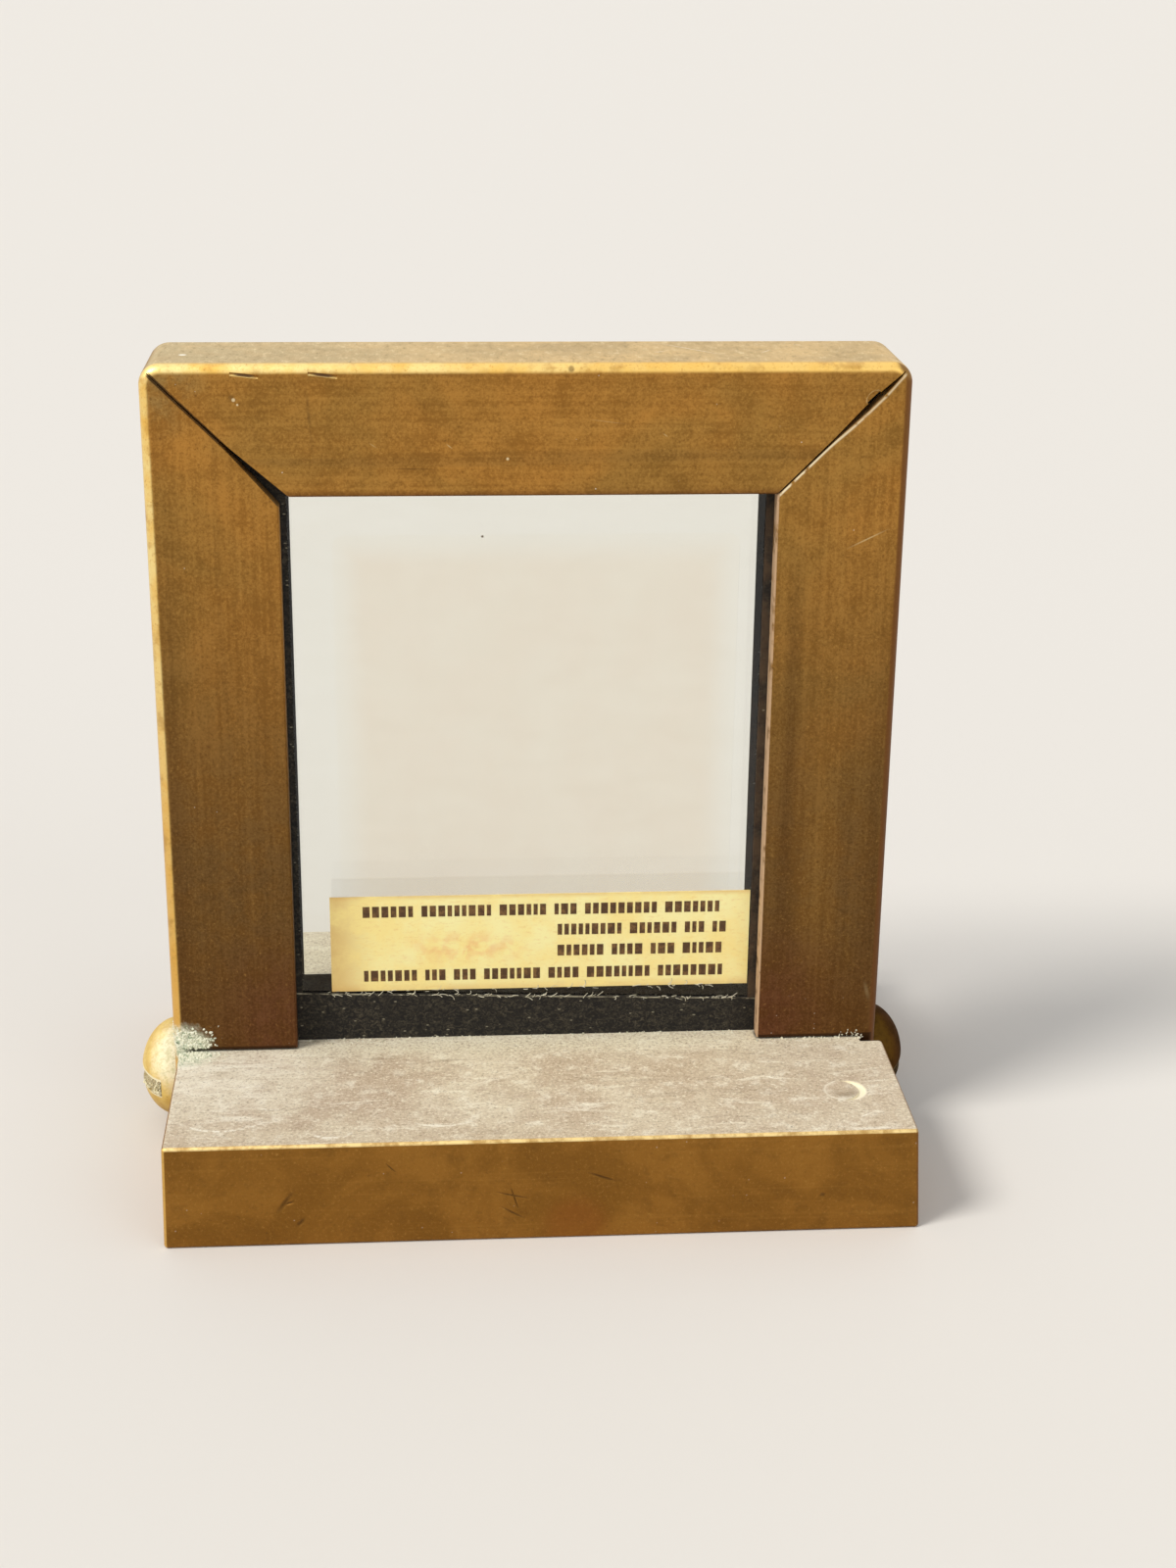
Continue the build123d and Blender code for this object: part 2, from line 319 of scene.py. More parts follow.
def bend_masks(shade):
    """Where a rounded edge faces up and front, left and front, or right and front. The up and left masks
    carry wear with a painted highlight, the right one painted shade.
    """
    front = shade.times(shade.facing_y, -1.0)
    left = shade.times(shade.facing_x, -1.0)
    top_edge_wear_and_highlight = shade.ramp(shade.least(front, shade.facing_z), 0.06, 0.3)
    left_edge_wear_and_highlight = shade.ramp(shade.least(front, left), 0.08, 0.34)
    shaded_right_edge = shade.ramp(shade.least(front, shade.facing_x), 0.12, 0.4)
    return top_edge_wear_and_highlight, left_edge_wear_and_highlight, shaded_right_edge


def verdigris_mask(shade, reach):
    """Where the green bloom spreads round the foot of the left leg, with a ragged border."""
    node = shade.add("ShaderNodeVectorMath", {"operation": "DISTANCE"})
    shade.feed(node.inputs[0], shade.place_mm)
    node.inputs[1].default_value = (arch_low.x + 1.3, FRONT_PLANE, BASE_TOP + 0.6)
    ragged = shade.times(shade.noise(700, detail=5, roughness=0.7), 2.6)
    return shade.ramp(shade.plus(node.outputs["Value"], ragged), reach + 1.3, 0.6 * reach + 1.0)


def add_verdigris(shade, colour, reach, strength, pale=CRUST_PALE, deep=CRUST_GREEN):
    """Lays the green bloom over the paint, and returns the bloom's mask."""
    patch = shade.noise(2600, detail=5, roughness=0.75)
    bloom = shade.blend(shade.ramp(patch, 0.4, 0.56), deep, pale)
    bloom.lay(CRUST_DARK, shade.ramp(patch, 0.36, 0.26), 0.5)
    mask = shade.times(verdigris_mask(shade, reach), strength)
    colour.lay(bloom, mask)
    return mask


def rail_and_leg_colour(shade, on_rail, mottle, bands):
    """The tarnish on the flat faces: olive and warm on the rail, darker and browner down the legs."""
    across = shade.size_of(shade.x)
    right = shade.ramp(shade.x, 0.0, 1)
    blotch = shade.noise(75, detail=4, distortion=0.5)
    colour = shade.blend(shade.ramp(blotch, 0.36, 0.64), RAIL_OLIVE, RAIL_WARM)
    colour.lay(RAIL_LIGHT, shade.ramp(bands, 0.52, 0.72), 0.12)
    down_leg = shade.ramp(shade.z, OPENING_TOP + 5, BASE_TOP + 13)
    colour.lay(LEG_BROWN, down_leg, shade.ramp(mottle, 0.3, 0.62, 0.75, 1.0))
    colour.lay(RAIL_OLIVE, shade.near(across, OPENING_SIDE + 5, 2.6), right, down_leg, 0.3)
    inner_shade = shade.near(shade.x, OPENING_SIDE + 1.9, 1.1)
    below_rail = shade.ramp(shade.z, OPENING_TOP - 2, OPENING_TOP - 14)
    colour.lay(LEG_SHADE, inner_shade, below_rail, 0.4)
    colour.lay(LEG_SHADE, shade.near(across, ARCH_SIDE - 1.3, 1.4), down_leg, 0.4)
    foot = shade.ramp(shade.z, BASE_TOP + 14, BASE_TOP + 1)
    colour.lay((112, 78, 40), foot, 0.8)
    inner_side = shade.ramp(across, ARCH_SIDE - 2, OPENING_SIDE + 1)
    colour.lay(FOOT_PURPLE, foot, inner_side, shade.ramp(mottle, 0.3, 0.6, 0.5, 1.0))
    colour.lay(LEG_BROWN, shade.ramp(bands, 0.48, 0.3), 0.10)
    corner_bloom = shade.spot(shade.x, shade.z, (-30.4, 69.4), 5.0)
    colour.lay((152, 132, 84), corner_bloom, shade.ramp(mottle, 0.3, 0.6), 0.5)
    low_rail = shade.times(on_rail, shade.near(shade.z, OPENING_TOP + 3.0, 2.4))
    colour.lay(LEG_BROWN, low_rail, shade.ramp(bands, 0.5, 0.38), 0.14)
    rust_line = shade.times(on_rail, shade.ramp(shade.z, OPENING_TOP + 0.7, OPENING_TOP))
    colour.lay((112, 66, 34), rust_line, 0.6)
    return colour


def web_colour(shade, mottle, grain):
    """The arch's top: dusty beige brass with dark specks towards the left and one long scratch."""
    colour = shade.blend(shade.ramp(shade.noise(150, detail=6), 0.36, 0.64), WEB_BEIGE, WEB_OLIVE)
    to_left = shade.ramp(shade.x, 4, arch_low.x)
    colour.lay((198, 180, 140), to_left, shade.ramp(mottle, 0.34, 0.6, 0.4, 0.9))
    rubbed = shade.noise(1500, detail=6, roughness=0.85, stretch=(1, 0.4, 1))
    colour.lay((244, 226, 182), shade.ramp(rubbed, 0.52, 0.68), 0.65)
    colour.lay((160, 136, 92), shade.ramp(rubbed, 0.48, 0.32), 0.75)
    dark_specks = shade.specks(0.8, 0.16, 0.4)
    colour.lay((132, 112, 74), dark_specks, shade.plus(to_left, 0.15), 0.8)
    colour.lay(DUST_WHITE, shade.specks(1.3, 0.09, 0.35), 0.8)
    colour.lay((168, 146, 100), shade.ramp(grain, 0.42, 0.28), 0.5)
    for start, end, width in (((10.8, 4.3), (16.6, -2.0), 0.09), ((19.6, -0.8), (20.6, 0.6), 0.08),
                              ((22.8, 3.0), (23.6, 2.5), 0.08), ((10.6, -0.5), (11.6, 0.0), 0.1)):
        scratch = shade.stroke(shade.x, shade.y, start, end, width)
        colour.lay(DUST_WHITE, scratch, shade.ramp(mottle, 0.3, 0.55, 0.4, 1.0), 0.85)
    colour.lay(DUST_WHITE, shade.spot(shade.x, shade.y, (-28.4, -1.2), 0.42))
    return colour


def chip_distance(shade):
    """Distance from the chip beside the right mitre, squeezed along the slit so that the chip is round."""
    along = shade.times(shade.plus(shade.x, shade.z), CHIP_SQUEEZE / sqrt(2))
    across = shade.times(shade.minus(shade.z, shade.x), 1 / sqrt(2))
    chip_x, chip_z = CHIP_CENTRE
    centre = ((chip_x + chip_z) * CHIP_SQUEEZE / sqrt(2), (chip_z - chip_x) / sqrt(2))
    return shade.distance(along, across, centre)


def frame_brass():
    """Tarnished brass, bright on the bends from wear and a painted highlight, with painted shade on the
    right-facing bends, grime and painted shade in the left mitre slit, grime in the knocks, and painted
    shadow along the foot of the front faces.
    """
    shade = Shade("tarnished_frame_brass")
    across = shade.size_of(shade.x)
    mitre_distance = shade.minus(shade.minus(shade.z, across), MITRE_OFFSET)
    on_rail = shade.ramp(mitre_distance, -0.1, 0.1)
    front = shade.ramp(shade.facing_y, -0.7, -0.95)
    left, right = shade.ramp(shade.x, 0.0, -1), shade.ramp(shade.x, 0.0, 1)
    lines = shade.brushed(on_rail, 1100)
    bands = shade.brushed(on_rail, 260)
    mottle = shade.noise(460, detail=6, roughness=0.6)
    grain = shade.noise(4200, detail=4, roughness=0.8)

    colour = rail_and_leg_colour(shade, on_rail, mottle, bands)
    tone = shade.plus(shade.times(grain, 0.5), shade.times(mottle, 0.3))
    tone = shade.plus(tone, shade.times(lines, 0.2))
    shaded = shade.mix(1.0, colour, (208, 200, 186), "MULTIPLY")
    colour.lay(shaded, shade.ramp(tone, 0.6, 0.4))
    colour.lay(DARK_PIT, shade.ramp(grain, 0.40, 0.27), 0.35)
    colour.lay(RAIL_LIGHT, shade.ramp(grain, 0.60, 0.74), 0.42)
    stain = shade.stroke(shade.x, shade.z, (-18.3, 70.2), (-17.7, 62.4), 0.22)
    colour.lay(LEG_SHADE, stain, front, shade.ramp(mottle, 0.35, 0.6), 0.5)

    for start, end, width, share in (
        ((26.9, 55.5), (30.2, 57.1), 0.09, 0.55),
        ((-6.9, 64.6), (-6.4, 64.2), 0.06, 0.6),
        ((-13.2, 64.7), (-12.6, 64.3), 0.05, 0.4),
        ((11.0, 65.4), (11.4, 65.1), 0.06, 0.5),
        ((4.8, 66.6), (7.9, 66.2), 0.04, 0.3),
        ((30.4, 15.2), (30.9, 13.2), 0.28, 0.16),
    ):
        scratch = shade.stroke(shade.x, shade.z, start, end, width)
        colour.lay((226, 206, 156), scratch, front, shade.ramp(mottle, 0.3, 0.5), share)
    dark_line = shade.stroke(shade.x, shade.z, (-12.0, 62.55), (-7.6, 62.5), 0.1)
    colour.lay(LEG_SHADE, dark_line, front, 0.6)
    colour.lay(LEG_SHADE, shade.spot(shade.x, shade.z, (-24.3, 68.5), 0.3), front, 0.5)
    for centre, radius in (((-24.1, 68.3), 0.2), ((-23.8, 67.9), 0.12), ((-1.85, 63.33), 0.16)):
        pale_dot = shade.spot(shade.x, shade.z, centre, radius)
        colour.lay((236, 218, 176), pale_dot, front, 0.8)

    on_top = shade.ramp(shade.facing_z, 0.55, 0.95)
    colour.lay(web_colour(shade, mottle, grain), on_top)

    # Bends: wear with a painted highlight on the up- and left-facing ones, shaped by which way each part
    # faces; painted shade on the right-facing ones.
    top_edge_wear_and_highlight, left_edge_wear_and_highlight, shaded_right_edge = bend_masks(shade)
    outer = shade.ramp(across, OPENING_SIDE + 1, OPENING_SIDE + 2)
    outer = shade.most(outer, shade.ramp(shade.z, OPENING_TOP + 1, OPENING_TOP + 2))
    wear_and_highlight = shade.most(top_edge_wear_and_highlight, shade.times(left_edge_wear_and_highlight, outer))
    rubbed = shade.ramp(shade.noise(170, detail=5, roughness=0.6), 0.36, 0.6)
    bright = shade.blend(rubbed, BEND_GOLD, BEND_CREAM)
    bright.lay(BEND_GOLD, shade.ramp(shade.x, arch_low.x, 0.7 * ARCH_SIDE), 0.75)
    bright.lay(BEND_GOLD, shade.ramp(shade.z, OPENING_TOP, BASE_TOP), 0.75)
    bright.lay(BEND_AMBER, shade.ramp(mottle, 0.46, 0.34), 0.4)
    bright.lay(BEND_AMBER, shade.ramp(grain, 0.46, 0.32), 0.7)
    bright.lay(BEND_AMBER, left_edge_wear_and_highlight, shade.ramp(shade.z, ARCH_TOP - 4, BASE_TOP, 0.1, 0.5))
    bright.lay(BEND_AMBER, shade.ramp(shade.facing_z, 0.4, 0.1), top_edge_wear_and_highlight, 0.8)
    bright.lay(WEB_OLIVE, shade.ramp(shade.facing_z, 0.9, 0.97), top_edge_wear_and_highlight, 0.6)
    colour.lay(bright, wear_and_highlight, shade.ramp(mottle, 0.32, 0.5, 0.8, 1.0))
    # Painted shade on the right-facing bends.
    colour.lay(BEND_SHADE, shaded_right_edge, outer, 0.8)
    bend_pit = shade.spot(shade.x, shade.z, (3.36, 70.74), 0.34)
    on_bend = shade.ramp(shade.y, FRONT_PLANE + 1.2, FRONT_PLANE + 1.0)
    colour.lay(LEG_SHADE, bend_pit, on_bend, 0.6)
    # The right jamb's left-facing cut face: pale dust with a painted highlight, since it faces the light.
    cut_face_dust_and_highlight = shade.times(
        shade.ramp(shade.facing_x, -0.3, -0.6),
        shade.near(shade.x, OPENING_SIDE, 0.6),
        shade.ramp(shade.noise(900, detail=4), 0.25, 0.5),
    )
    colour.lay(CUT_DUST_AND_HIGHLIGHT, cut_face_dust_and_highlight, 0.9)

    # Grime and painted shade darken both sides of the left mitre slit.
    from_mitre = shade.size_of(mitre_distance)
    slit_dirt_and_shade = shade.times(shade.ramp(from_mitre, 0.34, 0.2), left, front, shade.ramp(mottle, 0.2, 0.4))
    colour.lay(DIRT_AND_SHADE_BROWN, slit_dirt_and_shade, 0.9)
    half_gap = shade.ramp(shade.x, 24.5, 27.8, 0.0, 0.2)
    half_gap = shade.minus(half_gap, shade.ramp(shade.x, 29.4, 31, 0.0, 0.15))
    diagonal = 1.414
    from_edge = shade.plus(mitre_distance, shade.times(half_gap, diagonal))
    burnished = shade.times(
        shade.near(from_edge, -0.24, 0.24), right, front,
        shade.ramp(shade.noise(1200, detail=2), 0.25, 0.45),
        shade.ramp(shade.x, ARCH_SIDE - 1, OPENING_SIDE, 0.55, 1.0),
    )
    colour.lay((255, 242, 206), burnished)
    chip_rim = shade.times(
        shade.near(chip_distance(shade), 0.42, 0.12),
        shade.ramp(mitre_distance, 0.3, 0.6), front, shade.ramp(grain, 0.36, 0.52, 0.2, 1.0),
    )
    colour.lay((226, 196, 142), chip_rim, 0.6)

    beside_nick = shade.least(*(shade.size_of(shade.minus(shade.x, centre)) for centre in NICK_CENTRES))
    below_bend = shade.ramp(shade.z, ARCH_TOP - 0.7, ARCH_TOP - 0.78)
    nick = shade.times(
        shade.ramp(beside_nick, 1.15, 0.35), below_bend,
        shade.ramp(shade.z, ARCH_TOP - 1.7, ARCH_TOP - 1.5),
        shade.ramp(shade.y, FRONT_PLANE + 0.012, FRONT_PLANE + 0.05),
        shade.ramp(shade.y, FRONT_PLANE + 1.6, FRONT_PLANE + 1.4),
    )
    colour.lay((96, 62, 32), nick, 0.9)
    bloom = add_verdigris(shade, colour, 2.4, 0.95)
    # Painted shadow along the bottom of the frame's front faces, where they stand on the bar.
    foot_gap_shadow = shade.ramp(shade.z, BASE_TOP + 0.5, BASE_TOP + 0.36)
    colour.lay(DIRT_AND_SHADE_BROWN, foot_gap_shadow, front, shade.ramp(shade.x, -31, -30), 0.85)

    dust = shade.times(shade.specks(1.7, 0.07, 0.30), 0.8)
    low_dust = shade.times(
        shade.specks(0.5, 0.055, 0.3),
        shade.ramp(shade.z, BASE_TOP + 6, BASE_TOP),
        shade.ramp(shade.x, -OPENING_SIDE, OPENING_SIDE, 0.3, 0.9),
    )
    all_dust = shade.most(dust, low_dust)
    colour.lay(DUST_WHITE, all_dust, 0.8)

    matt = shade.most(shade.most(all_dust, bloom), shade.times(cut_face_dust_and_highlight, 0.7))
    matt = shade.most(matt, shade.most(nick, shade.times(on_top, 0.55)))
    rough = shade.minus(shade.ramp(mottle, 0.2, 0.8, 0.44, 0.58), shade.times(wear_and_highlight, 0.12))
    rough = shade.plus(rough, shade.times(matt, 0.3), clamp=True)
    metallic = shade.minus(0.88, shade.times(matt, 0.88))
    normal = shade.bump(lines, 0.005, 0.4)
    normal = shade.bump(grain, 0.024, 0.8, normal)
    normal = shade.bump(mottle, 0.05, 0.35, normal)
    return shade.finish(colour, metallic, rough, normal)


def base_side_colour(shade, blotch, mottle, fine, lines, marks):
    """Warm brown brass of the bar's front, ends and back, with its old marks."""
    colour = shade.blend(shade.ramp(blotch, 0.36, 0.64), BASE_FRONT, BASE_FRONT_DARK)
    colour.lay((112, 76, 28), shade.ramp(mottle, 0.5, 0.32), 0.35)
    colour.lay((182, 134, 62), shade.ramp(lines, 0.54, 0.72), 0.12)
    colour.lay((190, 144, 72), shade.ramp(fine, 0.54, 0.7), 0.5)
    colour.lay(DARK_PIT, shade.ramp(fine, 0.44, 0.3), 0.42)
    rust = shade.spot(shade.x, shade.z, (3.2, 1.2), 3.6)
    colour.lay((148, 84, 34), rust, shade.ramp(blotch, 0.3, 0.6), 0.35)
    colour.lay((66, 44, 18), marks, 0.55)
    return colour


def base_top_colour(shade, blotch, mottle, fine):
    """Dust and bloom on the bar's top: cool and white at the left and rear, warmer elsewhere."""
    top = shade.blend(shade.ramp(blotch, 0.36, 0.62), DUST_COOL, DUST_MAUVE)
    nearer = shade.ramp(shade.y, base_low.y + 9, base_low.y, 0.0, 0.6)
    to_right = shade.ramp(shade.x, base_low.x, base_high.x, 0.0, 0.6)
    top.lay(DUST_WARM, shade.most(nearer, to_right))
    top.lay(DUST_WHITE, shade.ramp(mottle, 0.5, 0.68), 0.55)
    top.lay((182, 160, 140), shade.ramp(mottle, 0.46, 0.3), 0.5)
    swoosh = shade.noise(430, detail=5, roughness=0.7, stretch=(0.3, 1.6, 1), distortion=0.9)
    left_rear = shade.times(shade.ramp(shade.x, -14, -26), shade.ramp(shade.y, -17, -8))
    top.lay(DUST_WHITE, left_rear, shade.ramp(swoosh, 0.4, 0.62), 0.75)
    top.lay(DUST_WHITE, shade.ramp(swoosh, 0.56, 0.68), 0.6)
    top.lay((176, 158, 136), shade.ramp(swoosh, 0.44, 0.3), 0.6)
    drift = shade.ramp(shade.y, FRONT_PLANE - 3.2, FRONT_PLANE + 0.5)
    top.lay((236, 230, 204), drift, shade.ramp(fine, 0.3, 0.6), 0.75)
    top.lay(DUST_WHITE, shade.ramp(fine, 0.52, 0.66), 0.8)
    top.lay(DUST_LOW, shade.ramp(fine, 0.48, 0.32), 0.85)

    scuffs = 0.0
    for centre, radius, width, low_end, high_end in (
        ((-17.3, -19.7), 2.1, 0.3, -21.8, -20.4),
        ((-26.6, -15.2), 5.0, 0.26, -20.2, -18.2),
        ((-8.0, -15.6), 4.6, 0.22, -20.4, -18.8),
    ):
        arc = shade.times(shade.ring(shade.x, shade.y, centre, radius, width),
                         shade.ramp(shade.y, high_end, low_end))
        scuffs = shade.most(scuffs, arc)
    scratches = shade.strokes(shade.x, shade.y, (
        ((20.2, -12.4), (21.6, -13.2), 0.16),
        ((21.5, -13.2), (22.6, -14.2), 0.13),
        ((20.3, -13.7), (22.4, -15.3), 0.10),
        ((-24.6, -19.3), (-23.2, -19.8), 0.2),
        ((-23.7, -16.4), (-21.7, -16.7), 0.16),
        ((-11.3, -11.6), (-9.8, -11.9), 0.12),
        ((-27.6, -12.8), (-23.4, -12.2), 0.16),
        ((1.6, -17.4), (4.6, -18.2), 0.12),
        ((15.7, -17.0), (16.2, -18.2), 0.10),
        ((16.3, -20.4), (16.6, -21.2), 0.10),
        ((27.4, -20.6), (29.0, -19.6), 0.12),
        ((-12.2, -20.0), (-11.9, -19.8), 0.3),
    ))
    broken = shade.ramp(shade.noise(2400, detail=4, roughness=0.7), 0.4, 0.56)
    top.lay((255, 252, 240), shade.most(scuffs, scratches), broken, 0.9)
    return top


def base_brass():
    """Base bar: dusty and pale on top, warm brown brass on its faces, bright along the edges from wear and
    a painted highlight; painted shade on the right edge and in the dent, a painted highlight on the dent's
    rim, and painted shadow under the flanges.
    """
    shade = Shade("dusty_base_brass")
    blotch = shade.noise(120, detail=5, roughness=0.6, distortion=0.8)
    mottle = shade.noise(620, detail=6, roughness=0.7)
    fine = shade.noise(3600, detail=5, roughness=0.85)
    lines = shade.noise(1500, detail=3, stretch=(0.04, 1, 2.0))
    front = shade.ramp(shade.facing_y, -0.7, -0.95)
    marks = shade.strokes(shade.x, shade.z, (
        ((-22.0, 3.0), (-20.5, 5.2), 0.3),
        ((-21.6, 3.9), (-20.4, 4.2), 0.2),
        ((-20.4, 1.7), (-19.6, 2.6), 0.28),
        ((-3.6, 4.6), (-0.8, 3.9), 0.11),
        ((-3.2, 3.2), (-1.2, 2.0), 0.11),
        ((-2.4, 5.2), (-1.6, 2.6), 0.08),
        ((4.2, 6.2), (6.6, 5.3), 0.18),
        ((-12.8, 7.6), (-11.9, 6.7), 0.08),
        ((24.0, 3.5), (24.5, 3.4), 0.3),
    ))
    marks = shade.times(marks, front, shade.ramp(mottle, 0.28, 0.5))

    upward = shade.ramp(shade.facing_z, 0.72, 0.97)
    side = base_side_colour(shade, blotch, mottle, fine, lines, marks)
    colour = shade.blend(upward, side, base_top_colour(shade, blotch, mottle, fine))

    dent = (base_high.x - 5.6, base_low.y + 7.4)
    dent_highlight_half = shade.ramp(shade.x, dent[0], dent[0] + 1.0)
    # Painted shade in the front part of the dent.
    dent_shade = shade.times(shade.spot(shade.x, shade.y, dent, 1.7), shade.ramp(shade.y, -15, -16.4))
    colour.lay((146, 128, 104), dent_shade, upward, shade.ramp(mottle, 0.3, 0.55), 0.7)
    inner_half = shade.ramp(shade.x, dent[0], dent[0] - 1.0)
    faint_arc = shade.times(shade.ring(shade.x, shade.y, dent, 1.75, 0.2), inner_half)
    colour.lay(DUST_WHITE, faint_arc, upward, 0.5)

    top_edge_wear_and_highlight, left_edge_wear_and_highlight, shaded_right_edge = bend_masks(shade)
    # Wear with a painted highlight on the bar's up- and left-facing edges; painted shade on its
    # right-facing edge.
    edge_break = shade.ramp(shade.noise(640, detail=5, roughness=0.7), 0.36, 0.6)
    edge_wear_and_highlight = shade.mix(edge_break, (196, 158, 96), (244, 216, 150))
    colour.lay(edge_wear_and_highlight, top_edge_wear_and_highlight)
    colour.lay((222, 178, 98), left_edge_wear_and_highlight, shade.ramp(fine, 0.3, 0.5, 0.5, 0.9))
    colour.lay(BEND_SHADE, shaded_right_edge, 0.4)
    below_top = shade.ramp(shade.z, BASE_TOP - 0.001, BASE_TOP - 0.008)
    sunk = shade.times(below_top, shade.ramp(shade.distance(shade.x, shade.y, dent), 2.7, 2.5))
    colour.lay((255, 248, 222), sunk)
    # Painted highlight on the right half of the dent's rim.
    rim = shade.times(shade.ring(shade.x, shade.y, dent, 1.85, 0.16), dent_highlight_half, upward)
    colour.lay((255, 250, 230), rim, 0.8)
    across = shade.size_of(shade.x)
    # Painted shadow on the bar's top under and just in front of the flanges.
    under_flange_shadow = shade.times(
        shade.ramp(across, OPENING_SIDE - 0.2, OPENING_SIDE + 0.1),
        shade.near(shade.y, FRONT_PLANE + 1.0, 1.25), upward,
    )
    bloom = add_verdigris(shade, colour, 3.4, 0.85)
    colour.lay((26, 18, 12), under_flange_shadow, shade.ramp(shade.x, -31, -29.6))
    specks = shade.times(shade.specks(1.1, 0.10, 0.4), shade.most(0.2, upward))
    colour.lay(DUST_WHITE, specks, 0.85)

    metallic = shade.minus(0.88, shade.times(upward, 0.78))
    matt = shade.most(shade.most(specks, sunk), bloom)
    metallic = shade.minus(metallic, matt, clamp=True)
    rough = shade.plus(shade.ramp(mottle, 0.2, 0.8, 0.44, 0.56), shade.times(upward, 0.24))
    rough = shade.minus(rough, shade.times(top_edge_wear_and_highlight, 0.15))
    normal = shade.bump(lines, 0.004, 0.4)
    normal = shade.bump(fine, 0.04, 0.8, normal)
    normal = shade.bump(mottle, 0.06, 0.4, normal)
    normal = shade.bump(shade.minus(1.0, marks), 0.16, 0.9, normal)
    return shade.finish(colour, metallic, rough, normal)


def screw_brass(name, bright, dull, under, slot_angle, bloom_reach, slot_bloom, edge_tint):
    """Turned brass, darker on its lower part, with grime and painted shade in its slot, and bloom creeping
    over it.
    """
    shade = Shade(name)
    mottle = shade.noise(800, detail=5, roughness=0.65)
    grain = shade.noise(4600, detail=4, roughness=0.75)
    colour = shade.blend(shade.ramp(mottle, 0.36, 0.62), bright, dull)
    colour.lay(under, shade.ramp(shade.z, 5.4, 1.4), 0.85)
    colour.lay(DARK_PIT, shade.ramp(grain, 0.4, 0.28), 0.4)
    bloom = add_verdigris(shade, colour, bloom_reach, 0.85, SCREW_BLOOM, (222, 220, 184))
    from_axis = shade.minus(shade.z, SCREW_AXIS)
    turned = shade.times(from_axis, cos(radians(slot_angle)))
    turned = shade.minus(turned, shade.times(shade.y, sin(radians(slot_angle))))
    off_slot = shade.size_of(turned)
    slot_depth = shade.ramp(shade.size_of(shade.x), SLOT_FLOOR - 0.06, SLOT_FLOOR - 0.02)
    rim = shade.times(shade.near(off_slot, SLOT_HALF + 0.08, 0.2), slot_depth)
    colour.lay(SCREW_BLOOM, rim, shade.ramp(mottle, 0.3, 0.5), slot_bloom)
    in_slot = shade.times(shade.ramp(off_slot, SLOT_HALF + 0.02, SLOT_HALF - 0.02), slot_depth)
    slot_dirt_and_shade = shade.blend(shade.ramp(grain, 0.4, 0.6), DIRT_AND_SHADE_BROWN, (92, 78, 54))
    slot_dirt_and_shade.lay((206, 198, 170), shade.ramp(grain, 0.36, 0.52), slot_bloom)
    slot_dirt_and_shade.lay((44, 34, 22), shade.ramp(mottle, 0.46, 0.38), 0.8)
    # Painted shade deepens towards the slot's floor.
    from_floor = shade.minus(shade.size_of(shade.x), SLOT_FLOOR)
    ragged_floor = shade.minus(from_floor, shade.times(mottle, 0.9))
    slot_dirt_and_shade.lay((52, 42, 28), shade.ramp(ragged_floor, 0.1, -0.2), 0.9)
    colour.lay(slot_dirt_and_shade, in_slot)
    dust = shade.specks(0.9, 0.07, 0.3)
    colour.lay(DUST_WHITE, dust, 0.7)
    matt = shade.most(bloom, in_slot)
    rough = shade.plus(shade.ramp(mottle, 0.2, 0.8, 0.42, 0.6), shade.times(matt, 0.35), clamp=True)
    metallic = shade.minus(0.84, shade.times(matt, 0.82))
    normal = shade.bump(grain, 0.024, 0.7)
    normal = shade.bump(mottle, 0.06, 0.4, normal)
    return shade.finish(colour, metallic, rough, normal, Specular_Tint=edge_tint)


def plate_glass():
    """Clear old plate glass, a little hazy where it was wiped."""
    shade = Shade("old_plate_glass")
    wipe = shade.noise(300, detail=5, roughness=0.6, stretch=(0.5, 1, 1.6), distortion=0.8)
    rough = shade.times(shade.ramp(wipe, 0.5, 0.8), 0.04)
    colour = shade.blend(wipe, (252, 253, 251), (248, 248, 244))
    in_front = shade.ramp(shade.y, glass_low.y + 0.2, glass_low.y + 0.1)
    colour.lay(DARK_PIT, shade.spot(shade.x, shade.z, (-3.9, 56.2), 0.16), in_front)
    material = shade.finish(colour, 0.0, rough, None, IOR=1.52, Transmission_Weight=1.0)
    shade.let_light_through()
    return material


def film_sheet():
    """Thin clear collodion with the faintest orange tint, which fades towards its edge."""
    shade = Shade("replica_film")
    cloud = shade.noise(180, detail=5, roughness=0.6)
    from_side = shade.minus(shade.x, (film_low.x + film_high.x) / 2)
    from_side = shade.minus((film_high.x - film_low.x) / 2, shade.size_of(from_side))
    from_end = shade.minus(shade.z, (film_low.z + film_high.z) / 2)
    from_end = shade.minus((film_high.z - film_low.z) / 2, shade.size_of(from_end))
    inset = shade.least(from_side, from_end)
    tint = shade.mix(shade.ramp(cloud, 0.3, 0.7), (254, 249, 242), (253, 246, 238))
    colour = shade.blend(shade.ramp(inset, 0.0, 3.0), (255, 254, 252), tint)
    rough = shade.ramp(cloud, 0.3, 0.8, 0.02, 0.06)
    material = shade.finish(colour, 0.0, rough, None, IOR=1.12, Transmission_Weight=1.0)
    shade.let_light_through()
    return material


